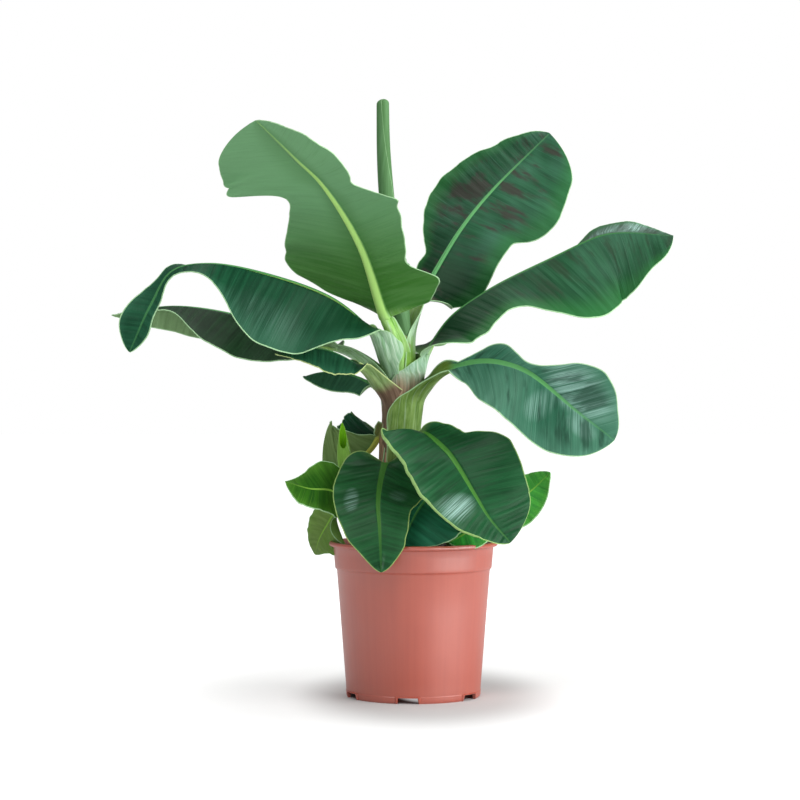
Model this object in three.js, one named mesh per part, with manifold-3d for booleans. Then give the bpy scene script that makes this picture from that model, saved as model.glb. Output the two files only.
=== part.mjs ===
// A young banana plant in a round nursery pot. Millimetres, +Z up, -Y to the front.
// The origin is under the middle of the pot, on the ground that the pot stands on.
import * as THREE from "three";
import { mergeVertices } from "three/addons/utils/BufferGeometryUtils.js";
import Module from "manifold-3d";

const wasm = await Module();
wasm.setup();

// Driving sizes.
const GAP = 0.3; // between neighbouring solids
const POT_HEIGHT = 192;
const POT_RIM_RADIUS = 105;
const POT_FOOT_RADIUS = 83;
const POT_WALL = 2.2;
const WALL_TOP = 158; // where the plain wall ends and the collar starts
const WALL_TOP_RADIUS = 95.5;
const COLLAR_FOOT = 161;
const COLLAR_FOOT_RADIUS = 97;
const COLLAR_TOP_RADIUS = 100;
const FLOOR_TOP = 11;
const PAD_RADIUS = 24; // the flat pad in the middle of the pot's underside
const NOTCH_COUNT = 6;
const NOTCH_HEIGHT = 7.5;
const NOTCH_ANGLE = 17; // degrees of the foot that one notch takes
const NOTCH_DEPTH = 15; // how far a notch's cutter reaches in from the foot, and out
const FIRST_NOTCH = -5; // degrees from the front
const SOIL_TOP = 184;
const STALK_SINK = 8; // how far a stalk's first ring is under the soil's top before it is trimmed
const PLANT_X = -3; // the plant's points are measured from here, a little to the left of the pot's middle
const LEAF_THICK = 3.2;
const LEAF_THICK_SHARE = 0.01; // of the leaf's length, the least that it is thick
const YOUNG_THICK = 2;
const RIB_SHARE = 0.1; // of a half blade's width, the part that is rib
const RIB_TIP = 0.6; // how far the rib stands out at the tip
const LEAST_HALF = 2.5; // the half blade's width where its outline comes to a point

const root = new THREE.Group();
root.name = "banana_plant";

const look = {
  pot: new THREE.MeshStandardMaterial({ color: 0xb9654e, roughness: 0.45, metalness: 0 }),
  soil: new THREE.MeshStandardMaterial({ color: 0x4a3a38, roughness: 1, metalness: 0 }),
  stem: new THREE.MeshStandardMaterial({ color: 0x8fae6a, roughness: 0.6, metalness: 0 }),
  leaf: new THREE.MeshStandardMaterial({ color: 0x2c6a48, roughness: 0.5, metalness: 0 }),
  young: new THREE.MeshStandardMaterial({ color: 0x5c9a2c, roughness: 0.5, metalness: 0 }),
};

// ---------------------------------------------------------------- solids

function solidOf(geometry) {
  const bare = (geometry.index ? geometry.toNonIndexed() : geometry.clone());
  bare.deleteAttribute("normal");
  bare.deleteAttribute("uv");
  const merged = mergeVertices(bare, 1e-3);
  return new wasm.Manifold(new wasm.Mesh({
    numProp: 3,
    vertProperties: new Float32Array(merged.attributes.position.array),
    triVerts: new Uint32Array(merged.index.array),
  }));
}

function geometryOf(solid) {
  const mesh = solid.getMesh();
  const geometry = new THREE.BufferGeometry();
  geometry.setAttribute("position", new THREE.BufferAttribute(new Float32Array(mesh.vertProperties), 3));
  geometry.setIndex(new THREE.BufferAttribute(new Uint32Array(mesh.triVerts), 1));
  geometry.computeVertexNormals();
  return geometry;
}

function largestBody(solid) {
  return solid.decompose().reduce((a, b) => (a.volume() > b.volume() ? a : b));
}

function addNode(name, geometry, material) {
  const mesh = new THREE.Mesh(geometry, material);
  mesh.name = name;
  root.add(mesh);
}

// A closed skin over rings of points: every ring has the same count, and fans close both ends.
function skin(rings) {
  const count = rings[0].length;
  const points = rings.flat();
  const faces = [];
  for (let i = 0; i + 1 < rings.length; i++) {
    for (let j = 0; j < count; j++) {
      const a = i * count + j;
      const b = i * count + ((j + 1) % count);
      faces.push(a, b, b + count, a, b + count, a + count);
    }
  }
  // The end caps join each point of the upper row to its partner in the lower row.
  const last = (rings.length - 1) * count;
  for (let j = 0; j + 1 < count / 2; j++) {
    const k = count - 1 - j;
    faces.push(j, k, k - 1, j, k - 1, j + 1);
    faces.push(last + j, last + k - 1, last + k, last + j, last + j + 1, last + k - 1);
  }
  const geometry = new THREE.BufferGeometry();
  geometry.setAttribute("position", new THREE.Float32BufferAttribute(points.flatMap((p) => [p.x, p.y, p.z]), 3));
  geometry.setIndex(faces);
  return geometry;
}

// ---------------------------------------------------------------- pot and soil

// A solid turned about the Z axis from an outline of radii and heights.
function turned(outline, segments) {
  const lathe = new THREE.LatheGeometry(outline.map(([r, z]) => new THREE.Vector2(r, z)), segments);
  lathe.rotateX(Math.PI / 2);
  return solidOf(lathe);
}

const wallRadius = (z) => POT_FOOT_RADIUS + ((WALL_TOP_RADIUS - POT_FOOT_RADIUS) * z) / WALL_TOP;

function potGeometry() {
  const outline = [
    [wallRadius(0), 0],
    [WALL_TOP_RADIUS, WALL_TOP],
    [COLLAR_FOOT_RADIUS, COLLAR_FOOT],
    [COLLAR_TOP_RADIUS, POT_HEIGHT - 6.5],
    [POT_RIM_RADIUS - 0.8, POT_HEIGHT - 5.5],
    [POT_RIM_RADIUS, POT_HEIGHT - 2.5],
    [POT_RIM_RADIUS - 1.5, POT_HEIGHT],
    [POT_RIM_RADIUS - 5, POT_HEIGHT - 0.6],
    [COLLAR_TOP_RADIUS - 2.5, POT_HEIGHT - 5],
    [COLLAR_FOOT_RADIUS - POT_WALL, COLLAR_FOOT],
    [wallRadius(FLOOR_TOP) - POT_WALL, FLOOR_TOP],
    [0, FLOOR_TOP],
    [0, 0],
    [PAD_RADIUS, 0],
    [PAD_RADIUS, FLOOR_TOP - POT_WALL],
    [wallRadius(0) - POT_WALL, FLOOR_TOP - POT_WALL],
    [wallRadius(0) - POT_WALL, 0],
    [wallRadius(0), 0],
  ];
  let pot = turned(outline, 60);
  const notchWidth = 2 * POT_FOOT_RADIUS * Math.sin(THREE.MathUtils.degToRad(NOTCH_ANGLE / 2));
  for (let i = 0; i < NOTCH_COUNT; i++) {
    const notch = new THREE.BoxGeometry(notchWidth, 2 * NOTCH_DEPTH, 2 * NOTCH_HEIGHT);
    notch.translate(0, -POT_FOOT_RADIUS, 0);
    notch.rotateZ(THREE.MathUtils.degToRad(FIRST_NOTCH + (i * 360) / NOTCH_COUNT));
    pot = pot.subtract(solidOf(notch));
  }
  return geometryOf(pot);
}

// The soil fills the pot to a little below the rim, and keeps the gap to the floor and the wall.
function soilGeometry() {
  const collarInside = COLLAR_FOOT_RADIUS - POT_WALL - GAP;
  const outline = [
    [0, FLOOR_TOP + GAP],
    [wallRadius(FLOOR_TOP) - POT_WALL - GAP, FLOOR_TOP + GAP],
    [collarInside - 0.8, COLLAR_FOOT - 1],
    [collarInside + 0.2, SOIL_TOP - 3],
    [60, SOIL_TOP],
    [0, SOIL_TOP],
  ];
  return geometryOf(turned(outline, 48));
}

// The space that the filled pot takes, with the gap that the plant keeps to it.
function filledPot() {
  const middle = POT_HEIGHT / 2;
  return turned([
    [0, middle],
    [wallRadius(middle) + 1, middle],
    [WALL_TOP_RADIUS + 1, WALL_TOP],
    [COLLAR_FOOT_RADIUS + 1, COLLAR_FOOT - 1],
    [COLLAR_TOP_RADIUS + 1, POT_HEIGHT - 7.5],
    [POT_RIM_RADIUS + GAP, POT_HEIGHT - 6.5],
    [POT_RIM_RADIUS + GAP, POT_HEIGHT + GAP],
    [COLLAR_TOP_RADIUS - 3.5, POT_HEIGHT + GAP],
    [COLLAR_FOOT_RADIUS - POT_WALL, SOIL_TOP + GAP],
    [0, SOIL_TOP + GAP],
  ], 60);
}

// ---------------------------------------------------------------- stem

// A point of the plant, measured from the plant's own middle.
const plantPoint = ([x, y, z]) => new THREE.Vector3(x + PLANT_X, y, z);

// A round tapering stalk through a few points, with a radius at each point.
function stalkGeometry({ points, radii, sides, steps }, grow) {
  const curve = new THREE.CatmullRomCurve3(points.map(plantPoint), false, "catmullrom", 0.5);
  const frames = curve.computeFrenetFrames(steps, false);
  const rings = [];
  for (let i = 0; i <= steps; i++) {
    const t = i / steps;
    const centre = curve.getPoint(t);
    if (i === 0) centre.addScaledVector(frames.tangents[0], -grow);
    if (i === steps) centre.addScaledVector(frames.tangents[steps], grow);
    const radius = along(radii, t) + grow;
    const ring = [];
    for (let j = 0; j < sides; j++) {
      const angle = (2 * Math.PI * j) / sides;
      ring.push(centre.clone()
        .addScaledVector(frames.normals[i], radius * Math.cos(angle))
        .addScaledVector(frames.binormals[i], radius * Math.sin(angle)));
    }
    rings.push(ring);
  }
  return skin(rings);
}

// ---------------------------------------------------------------- leaves

// A smooth value at share u of a run, through values set at even steps from 0 to 1.
function along(values, u) {
  if (values.length === 1) return values[0];
  const spot = Math.min(Math.max(u, 0), 1) * (values.length - 1);
  const i = Math.min(Math.floor(spot), values.length - 2);
  const s = spot - i;
  const at = (k) => values[Math.min(Math.max(k, 0), values.length - 1)];
  const [a, b, c, d] = [at(i - 1), at(i), at(i + 1), at(i + 2)];
  return 0.5 * (2 * b + (c - a) * s + (2 * a - 5 * b + 4 * c - d) * s * s + (3 * b - a - 3 * c + d) * s ** 3);
}

const smooth = (low, high, x) => THREE.MathUtils.smoothstep(x, low, high);

// The outline of a banana leaf's half: a round base, nearly parallel sides, and a tip that rounds off
// from share `blunt` of the blade on.
function outlineShare(u, { base = 0.16, blunt = 0.4 }) {
  const opening = Math.min(Math.max(u, 0) / base, 1);
  const tip = Math.max((u - blunt) / (1 - blunt), 0);
  return (1 - (1 - opening) ** 2.2) ** 0.6 * Math.max(1 - tip ** 2.6, 0) ** 0.62;
}

// One leaf: a rib through a few points, a bare stalk, then a blade in two halves.
// Half widths are in millimetres and lifts in degrees, at even steps from stalk to tip.
// Left and right are as seen from the stem, looking out along the leaf.
function leafGeometry(leaf, grow = 0) {
  const { rib, stalk, left, right, roll = [0], steps = 20, columns = 4 } = leaf;
  const curve = new THREE.CatmullRomCurve3(rib.map(plantPoint), false, "centripetal");
  curve.arcLengthDivisions = 400;
  const thin = Math.max(leaf.thick ?? LEAF_THICK, LEAF_THICK_SHARE * curve.getLength());
  const out = new THREE.Vector3(...(leaf.heading ?? [rib.at(-1)[0] - rib[0][0], rib.at(-1)[1] - rib[0][1]]), 0);
  out.normalize();
  const across = new THREE.Vector3(out.y, -out.x, 0);
  const shares = [0, RIB_SHARE];
  while (shares.length <= columns) {
    shares.push(RIB_SHARE + ((1 - RIB_SHARE) * (shares.length - 1)) / (columns - 1));
  }
  const rings = [];
  for (let i = 0; i <= steps; i++) {
    const t = i / steps;
    const u = (t - stalk.share) / (1 - stalk.share);
    const centre = curve.getPointAt(t);
    const forward = curve.getTangentAt(t);
    if (i === 0) centre.addScaledVector(forward, -grow);
    if (i === steps) centre.addScaledVector(forward, grow);
    const level = across.clone().addScaledVector(forward, -across.dot(forward)).normalize();
    const up = level.clone().cross(forward);
    const turn = THREE.MathUtils.degToRad(along(roll, u));
    const a = level.clone().multiplyScalar(Math.cos(turn)).addScaledVector(up, Math.sin(turn));
    const n = up.clone().multiplyScalar(Math.cos(turn)).addScaledVector(level, -Math.sin(turn));
    const opened = smooth(-0.03, leaf.base ?? 0.16, u);
    const back = (leaf.lobe ?? 0) * (1 - smooth(0, 0.2, u)) * smooth(-0.03, 0.03, u);
    const stalkWidth = THREE.MathUtils.lerp(stalk.width[0], stalk.width[1], Math.min(t / stalk.share, 1));
    const ribDepth = THREE.MathUtils.lerp(stalk.depth, RIB_TIP, smooth(-0.1, 0.95, u)) + thin;
    const rows = [right, left].map((side, h) => {
      const sign = h === 0 ? 1 : -1;
      const blade = Math.max(along(side.width, u) * outlineShare(u, leaf), LEAST_HALF);
      const width = (u <= 0 ? stalkWidth : Math.max(stalkWidth * (1 - opened), blade)) + grow;
      const bend = THREE.MathUtils.degToRad(THREE.MathUtils.lerp(stalk.lift, along(side.lift, u), opened));
      const outward = a.clone().multiplyScalar(sign * Math.cos(bend)).addScaledVector(n, Math.sin(bend));
      const normal = n.clone().multiplyScalar(Math.cos(bend)).addScaledVector(a, -sign * Math.sin(bend));
      const points = [];
      const spot = centre.clone();
      for (let k = 0; k < shares.length; k++) {
        if (k) {
          spot.addScaledVector(outward, width * (shares[k] - shares[k - 1]));
          spot.addScaledVector(forward, -back * (shares[k] ** 2 - shares[k - 1] ** 2));
        }
        const depth = k === 1 ? Math.max(0.75 * ribDepth, thin) : thin;
        points.push([
          spot.clone().addScaledVector(normal, grow),
          spot.clone().addScaledVector(normal, -depth - grow),
        ]);
      }
      return points;
    });
    const [r, l] = rows;
    const mid = [centre.clone().addScaledVector(n, grow), centre.clone().addScaledVector(n, -ribDepth - grow)];
    const upper = [...l.slice(1).reverse().map((p) => p[0]), mid[0], ...r.slice(1).map((p) => p[0])];
    const lower = [...l.slice(1).reverse().map((p) => p[1]), mid[1], ...r.slice(1).map((p) => p[1])];
    rings.push([...upper, ...lower.reverse()]);
  }
  return skin(rings);
}

const half = (width, lift) => ({ width, lift });
const stalkOf = (share, base, end, depth = 4) => ({ share, width: [base, end], depth, lift: 50 });

const LEAVES = {
  leaf_front_high: {
    rib: [
      [-17, -8, 432], [-35, -25, 480], [-60, -65, 555], [-105, -120, 625], [-135, -150, 652],
      [-181, -175, 695]
    ],
    stalk: stalkOf(0.12, 12, 8),
    right: half(
      [60, 40, 80, 112, 124, 118, 108, 96, 82, 68, 74, 136, 132, 140, 150, 158, 160],
      [-10, -10, -8, -8, -5, -10, -8, 0, 0],
    ),
    left: half(
      [76, 74, 88, 100, 66, 72, 78, 86, 92, 104, 55, 63, 72, 73, 66, 50, 50],
      [9, 8, 0, 0, 0, -5, -5, -8, -8],
    ),
    base: 0.09, blunt: 0.8, lobe: 2, steps: 32,
  },
  leaf_back_right_high: {
    rib: [
      [-5, 16, 424], [0, 24, 457], [12, 40, 496], [35, 65, 540], [66, 90, 591], [104, 115, 639],
      [183, 145, 719]
    ],
    stalk: stalkOf(0.2, 10, 7),
    right: half(
      [58, 46, 60, 71, 70, 67, 66, 66, 68, 83, 90, 92, 92, 90, 92, 104, 110],
      [-50, -40, -25, -25, -25, -25, -20],
    ),
    left: half(
      [10, 20, 28, 34, 33, 48, 63, 76, 86, 97, 98, 94, 86, 71, 66, 57, 60],
      [-25, -25, -25, -25, -25, -20, -10],
    ),
    roll: [-40], base: 0.08, blunt: 0.65, steps: 26,
  },
  leaf_right_high: {
    rib: [
      [4, -10, 395], [12, -8, 430], [44, 3, 469], [95, 15, 507], [176, 32, 548], [240, 44, 577],
      [268, 48, 581], [334, 52, 577]
    ],
    stalk: stalkOf(0.09, 12, 8),
    right: half(
      [58, 59, 63, 65, 56, 50, 52, 68, 82, 96, 99, 95, 92, 96, 95, 80, 95],
      [-30, -38, -45, -60, -75, -80, -60],
    ),
    left: half([60, 75, 85, 90, 90, 85, 75], [-25, -24, -22, -22, -24, -18, 2, 18, 14]),
    base: 0.12, blunt: 0.65, lobe: 10, steps: 26,
  },
  leaf_right_mid: {
    rib: [
      [12, -24, 350], [14, -30, 383], [44, -60, 406], [82, -95, 415], [111, -115, 412], [140, -130, 400],
      [197, -150, 353], [238, -160, 321]
    ],
    stalk: stalkOf(0.26, 10, 7),
    right: half([18, 22, 43, 54, 60, 62, 64, 63, 66], [-10, -10, -5, 0, 0, 0, 0]),
    left: half([4, 4, 6, 8, 17, 22, 22, 18, 19, 29, 44, 53, 58, 58, 56, 49, 50], [10]),
    roll: [-50, -60, -60], base: 0.12, blunt: 0.65, steps: 26,
  },
  leaf_left_high: {
    rib: [
      [-30, -16, 395], [-48, -40, 454], [-92, -75, 492], [-169, -105, 520], [-242, -120, 532],
      [-284, -122, 523], [-311, -122, 481], [-336, -122, 425]
    ],
    stalk: stalkOf(0.15, 14, 9),
    right: half(
      [50, 58, 58, 77, 82, 76, 66, 54, 44, 36, 30, 24, 12, 22, 36, 48, 46],
      [-60, -60, -55, -50, -35, -15, 0, 0, 0],
    ),
    left: half(
      [30, 41, 55, 74, 89, 94, 96, 90, 74, 46, 24, 14, 9, 12, 14, 24, 24],
      [-25, -52, -72, -70, -62, -35, 0, 0, 0],
    ),
    roll: [0, 0, 0, 0, 0, 0, 30, 60, 60], base: 0.1, blunt: 0.6, lobe: 8, steps: 32,
  },
  leaf_left_back: {
    rib: [
      [-42, -10, 400], [-75, 0, 426], [-126, 15, 444], [-203, 35, 473], [-299, 46, 488], [-379, 40, 476]
    ],
    stalk: stalkOf(0.16, 9, 7),
    right: half([50, 58, 64, 66, 62, 54, 44, 40, 30], [-10, -18, -25, -25, -30, -50, -62, -55, -30]),
    left: half([34, 41, 52, 60, 60, 50, 16, 12, 10], [-10, -40, -60, -62, -50, -42, -35, -25, -15]),
    base: 0.12,
  },
  leaf_left_mid: {
    rib: [[-36, -22, 380], [-60, -40, 408], [-95, -60, 428], [-130, -76, 432], [-165, -84, 424]],
    stalk: stalkOf(0.26, 12, 7),
    right: half([35, 50, 48, 40, 30], [-20]),
    left: half([26, 40, 44, 36, 25], [-30, -40, -45, -35, -20]),
    base: 0.15, steps: 14,
  },
  leaf_left_low: {
    rib: [[-34, 14, 375], [-52, 28, 391], [-74, 44, 401], [-98, 58, 405], [-120, 68, 403], [-138, 78, 398]],
    stalk: stalkOf(0.1, 9, 6),
    right: half([20, 28, 32, 30, 22], [-15]),
    left: half([22, 24, 28, 28, 20], [-60, -65, -68, -62, -50]),
    base: 0.12, steps: 16,
  },
  leaf_back_high: {
    rib: [[-16, 26, 432], [-22, 42, 485], [-40, 75, 545], [-66, 125, 590], [-92, 180, 596]],
    stalk: stalkOf(0.36, 10, 7),
    right: half([45, 60, 62, 58, 45], [-15, -20, -20, -15, -10]),
    left: half([45, 60, 62, 58, 45], [-15, -20, -20, -15, -10]),
    base: 0.15, steps: 16,
  },
  leaf_front_right_low: {
    rib: [
      [8, -34, 300], [12, -42, 326], [43, -80, 306], [77, -110, 253], [93, -118, 227], [118, -122, 198]
    ],
    stalk: stalkOf(0.12, 8, 6),
    right: half([68, 78, 72, 73, 72, 63, 55, 38, 36], [38, 18, 9, 5, 0, 0, 0]),
    left: half(
      [24, 26, 31, 32, 34, 48, 62, 70, 70, 69, 68, 67, 69, 75, 84, 92, 90],
      [5, 10, 26, 28, 20, 12, 10],
    ),
    roll: [-30], base: 0.08, blunt: 0.5, lobe: 12, steps: 26,
  },
  leaf_front_low: {
    rib: [
      [-26, -34, 268], [-31, -48, 292], [-37, -72, 272], [-40, -99, 243], [-38, -115, 214],
      [-36, -126, 163]
    ],
    stalk: stalkOf(0.14, 7, 5),
    right: half([50, 52, 56, 56, 52, 48, 46, 36, 30], [0, 0, 0, 5, 5]),
    left: half(
      [34, 30, 35, 43, 50, 55, 51, 46, 41, 39, 38, 38, 37, 39, 37, 35, 35],
      [-10, -15, -15, -12, -12],
    ),
    base: 0.12, lobe: 3, steps: 26,
  },
  leaf_back_left_low: {
    rib: [[-35, 12, 333], [-41, 16, 320], [-51, 22, 305], [-69, 28, 290], [-90, 33, 282], [-112, 37, 282]],
    heading: [-1, 0.3],
    stalk: stalkOf(0.1, 7, 6, 3),
    right: half([56, 66, 68, 64, 52], [62, 64, 64, 64, 64]),
    left: half([8, 36, 52, 60, 66], [70, 75, 78, 78, 75]),
    base: 0.06, blunt: 0.82, steps: 16, columns: 3,
  },
  leaf_back_low: {
    rib: [[4, 24, 314], [18, 60, 324], [42, 110, 326], [68, 160, 312], [84, 200, 290]],
    stalk: stalkOf(0.2, 8, 6, 3),
    right: half([24, 30, 40, 46, 36], [30, 5, -15, -20, -15]),
    left: half([30, 40, 46, 46, 32], [-15, -20, -20, -15, -10]),
    steps: 14, columns: 3,
  },
  sucker_leaf_left: {
    rib: [[-68, -16, 214], [-80, -30, 243], [-98, -45, 257], [-124, -60, 260], [-153, -72, 269]],
    stalk: stalkOf(0.2, 6, 4, 2.5),
    right: half([26, 36, 44, 46, 39, 34, 30, 25, 20], [55, 55, 50, 40, 20]),
    left: half([26, 30, 36, 42, 38, 35, 40, 50, 52], [-50, -55, -50, -45, -40]),
    steps: 14, columns: 3, thick: YOUNG_THICK,
  },
  sucker_leaf_left_drooping: {
    rib: [[-77, 3, 225], [-92, 14, 229], [-108, 24, 207], [-117, 28, 189], [-121, 30, 173]],
    stalk: stalkOf(0.18, 5, 4, 2.5),
    right: half([20, 34, 44, 42, 30], [0]),
    left: half([34, 46, 48, 44, 34], [0]),
    roll: [60], steps: 12, columns: 3, thick: YOUNG_THICK,
  },
  sucker_leaf_right: {
    rib: [[60, 2, 215], [82, 16, 222], [112, 30, 232], [148, 40, 250], [177, 46, 276]],
    stalk: stalkOf(0.15, 5, 4, 2.5),
    right: half([24, 32, 36, 29, 19], [-50, -60, -60, -50, -30]),
    left: half([24, 28, 32, 40, 40], [30, 30, 30, 30, 20]),
    steps: 12, columns: 3, thick: YOUNG_THICK,
  },
  sucker_leaf_front: {
    rib: [[37, -20, 250], [26, -40, 252], [10, -58, 236], [-3, -70, 212], [-12, -76, 190]],
    heading: [-0.4, -1],
    stalk: stalkOf(0.12, 5, 4, 2.5),
    right: half([26, 34, 36, 34, 26], [15]),
    left: half([36, 58, 68, 68, 56], [0]),
    steps: 12, columns: 3, thick: YOUNG_THICK,
  },
  sucker_leaf_front_right: {
    rib: [[64, -14, 214], [78, -34, 228], [80, -54, 222], [68, -70, 208], [46, -78, 195]],
    stalk: stalkOf(0.15, 5, 4, 2.5),
    right: half([20, 22, 22, 20, 14], [15]),
    left: half([20, 24, 27, 26, 20], [-20, -40, -45, -40, -30]),
    steps: 12, columns: 3, thick: YOUNG_THICK,
  },
};

// ---------------------------------------------------------------- the plant

addNode("pot", potGeometry(), look.pot);
addNode("soil", soilGeometry(), look.soil);

const STALKS = {
  pseudostem: {
    points: [[-18, 0, SOIL_TOP - STALK_SINK], [-15, 0, 260], [-12, 1, 350], [-9, 2, 436]],
    radii: [26, 25, 25, 19],
    sides: 24,
    steps: 14,
  },
  spear_leaf: {
    points: [[-9, 6, 440], [-12, 8, 480], [-23, 10, 560], [-30, 8, 620], [-34, 5, 680], [-35, 3, 743]],
    radii: [9, 10, 11, 10.5, 9.8, 7],
    sides: 14,
    steps: 20,
  },
  sucker_spear: {
    points: [[-64, -12, SOIL_TOP - STALK_SINK], [-74, -7, 240], [-83, -2, 300], [-86, 0, 340]],
    radii: [9, 9.5, 9, 2],
    sides: 12,
    steps: 12,
  },
  sucker_stem_right: {
    points: [[52, -10, SOIL_TOP - STALK_SINK], [49, -12, 215], [43, -14, 251]],
    radii: [9, 7.5, 5],
    sides: 12,
    steps: 8,
  },
};

// Each plant part is trimmed by the filled pot and by the parts before it, all grown by the gap.
const grown = [filledPot()];
for (const [name, stalk] of Object.entries(STALKS)) {
  const solid = solidOf(stalkGeometry(stalk, 0)).subtract(grown[0]);
  addNode(name, geometryOf(solid), name === "pseudostem" ? look.stem : look.young);
  grown.push(solidOf(stalkGeometry(stalk, 1.5 * GAP)));
}
for (const [name, leaf] of Object.entries(LEAVES)) {
  const solid = grown.reduce((rest, other) => rest.subtract(other), solidOf(leafGeometry(leaf)));
  addNode(name, geometryOf(largestBody(solid)), name.startsWith("sucker") ? look.young : look.leaf);
  grown.push(solidOf(leafGeometry(leaf, 1.2 * GAP)));
}

export default root;
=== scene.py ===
"""A young banana plant in a round nursery pot, dressed over its solids. Metres, +Z up, -Y to the front."""
import math

import bmesh
import bpy
import numpy as np
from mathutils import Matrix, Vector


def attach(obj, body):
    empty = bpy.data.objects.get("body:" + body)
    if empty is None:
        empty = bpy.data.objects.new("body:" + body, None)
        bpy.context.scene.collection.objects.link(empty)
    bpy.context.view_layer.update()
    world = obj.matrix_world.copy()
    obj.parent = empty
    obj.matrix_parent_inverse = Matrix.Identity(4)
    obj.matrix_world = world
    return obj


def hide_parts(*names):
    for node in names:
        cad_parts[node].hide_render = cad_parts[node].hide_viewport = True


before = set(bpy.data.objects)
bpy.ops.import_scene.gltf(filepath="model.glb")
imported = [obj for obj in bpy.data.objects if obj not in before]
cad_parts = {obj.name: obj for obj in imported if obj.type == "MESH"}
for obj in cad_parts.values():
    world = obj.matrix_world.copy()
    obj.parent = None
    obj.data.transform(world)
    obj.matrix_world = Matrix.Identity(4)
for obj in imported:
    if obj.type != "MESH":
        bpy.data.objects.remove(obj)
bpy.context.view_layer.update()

# ---------------------------------------------------------------- studio
# A plain pale floor, an even white surround and three large soft lamps. The floor glows white away from the
# pot, so that only the shade round the pot shows on it. None of it is part of the plant.
FLOOR_SIDE = 40.0
FLOOR_GREY = 0.6
GLOW_RINGS = [(0.088, 0.19, 0.0, 0.39), (0.19, 0.55, 0.0, 0.5)]  # from, to, strength before, strength after
# painted light: the floor glows a little under the middle of the pot, so that the notches show light
GLOW_UNDER = (0.03, 0.045, 0.4, 0.0)  # the light that comes in under the pot through its notches
GLOW_SHED = 0.45  # the share of the glow that lights the plant
GLOW_DEPTH = 0.55  # how much less the glow grows with depth than with width
GLOW_SHIFT = -0.02
SURROUND_SEEN = 1.0
SURROUND_LIGHT = 0.3
CAMERA_PLACE = (-0.0167, -2.700, 0.368)
CAMERA_LENS = 97.36
CAMERA_SENSOR = 36

scene = bpy.context.scene
scene.view_settings.view_transform = "Standard"


class Paint:
    """One output of a shader node. + - * with these and numbers add Math nodes. add() adds any other node."""

    def __init__(self, tree, socket=None):
        self.tree = tree
        self.socket = socket

    def add(self, kind, settings, inputs, output=0):
        """Adds a node of a kind: its settings first, then the values or links of its sockets."""
        node = self.tree.nodes.new("ShaderNode" + kind)
        for key, value in settings.items():
            setattr(node, key, value)
        for key, value in inputs.items():
            if isinstance(value, Paint):
                self.tree.links.new(value.socket, node.inputs[key])
            else:
                node.inputs[key].default_value = value
        return Paint(self.tree, node.outputs[output])

    def maths(self, operation, *others):
        """One Math node: this value first, then the others."""
        return self.add("Math", {"operation": operation}, dict(enumerate((self, *others))))

    def __add__(self, other):
        return self.maths("ADD", other)

    __radd__ = __add__

    def __sub__(self, other):
        return self.maths("SUBTRACT", other)

    def __rsub__(self, other):
        return self.maths("MULTIPLY_ADD", -1.0, other)

    def __mul__(self, other):
        return self.maths("MULTIPLY", other)

    __rmul__ = __mul__

    def rises(self, low, high):
        """0 below low, 1 above high and smooth between them. With low over high it falls instead."""
        if low > high:
            return 1 - self.rises(high, low)
        return self.add("MapRange", {"interpolation_type": "SMOOTHSTEP"},
                        {"Value": self, "From Min": low, "From Max": high})

    def mix(self, one, other):
        """The first colour where this value is 0, the second where it is 1."""
        return self.add("Mix", {"data_type": "RGBA"}, {0: self, 6: one, 7: other}, 2)

    def noise(self, scale, detail, rough):
        """Cloudy noise from 0 to 1 at these coordinates."""
        values = {"Vector": self, "Scale": scale, "Detail": detail, "Roughness": rough}
        return self.add("TexNoise", {}, values)

    def parts(self):
        """The three numbers of a vector."""
        return [self.add("SeparateXYZ", {}, {"Vector": self}, k) for k in range(3)]

    def vector(self, x, y, z):
        """A vector of three numbers."""
        return self.add("CombineXYZ", {}, {"X": x, "Y": y, "Z": z})


def material(name):
    """A new material, its shader, and a bare Paint to start its nodes from."""
    made = bpy.data.materials.new(name)
    made.use_nodes = True
    return made, made.node_tree.nodes["Principled BSDF"], Paint(made.node_tree)


def feed(shader, paint, socket):
    """Links a Paint to one socket of the shader."""
    paint.tree.links.new(paint.socket, shader.inputs[socket])


floor_mesh = bpy.data.meshes.new("floor")
reach = FLOOR_SIDE / 2
corners = [(-reach, -reach, 0), (reach, -reach, 0), (reach, reach, 0), (-reach, reach, 0)]
floor_mesh.from_pydata(corners, [], [(0, 1, 2, 3)])
floor = bpy.data.objects.new("floor", floor_mesh)
scene.collection.objects.link(floor)
floor_look, shader, paint = material("floor")
shader.inputs["Base Color"].default_value = (FLOOR_GREY, FLOOR_GREY, FLOOR_GREY, 1)
shader.inputs["Roughness"].default_value = 0.9
shader.inputs["Specular IOR Level"].default_value = 0.1
shader.inputs["Emission Color"].default_value = (1, 1, 1, 1)
place = paint.add("TexCoord", {}, {}, 3)
squeezed = {0: place, 1: (1, GLOW_DEPTH, 1), 2: (GLOW_SHIFT, 0, 0)}
spot = paint.add("VectorMath", {"operation": "MULTIPLY_ADD"}, squeezed)
away = paint.add("VectorMath", {"operation": "LENGTH"}, {0: spot}, 1)
rings = [paint.add("MapRange", {"interpolation_type": "SMOOTHSTEP"},
                   {"Value": away, "From Min": near, "From Max": wide, "To Min": first, "To Max": last})
         for near, wide, first, last in (*GLOW_RINGS, GLOW_UNDER)]
seen = paint.add("LightPath", {}, {})
feed(shader, (seen * (1 - GLOW_SHED) + GLOW_SHED) * (rings[0] + rings[1] + rings[2]), "Emission Strength")
floor_mesh.materials.append(floor_look)

surround = bpy.data.worlds.new("surround")
surround.use_nodes = True
scene.world = surround
sky = surround.node_tree.nodes["Background"]
sky.inputs["Color"].default_value = (1, 1, 1, 1)
seen = Paint(surround.node_tree).add("LightPath", {}, {})
feed(sky, seen * (SURROUND_SEEN - SURROUND_LIGHT) + SURROUND_LIGHT, "Strength")


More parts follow.
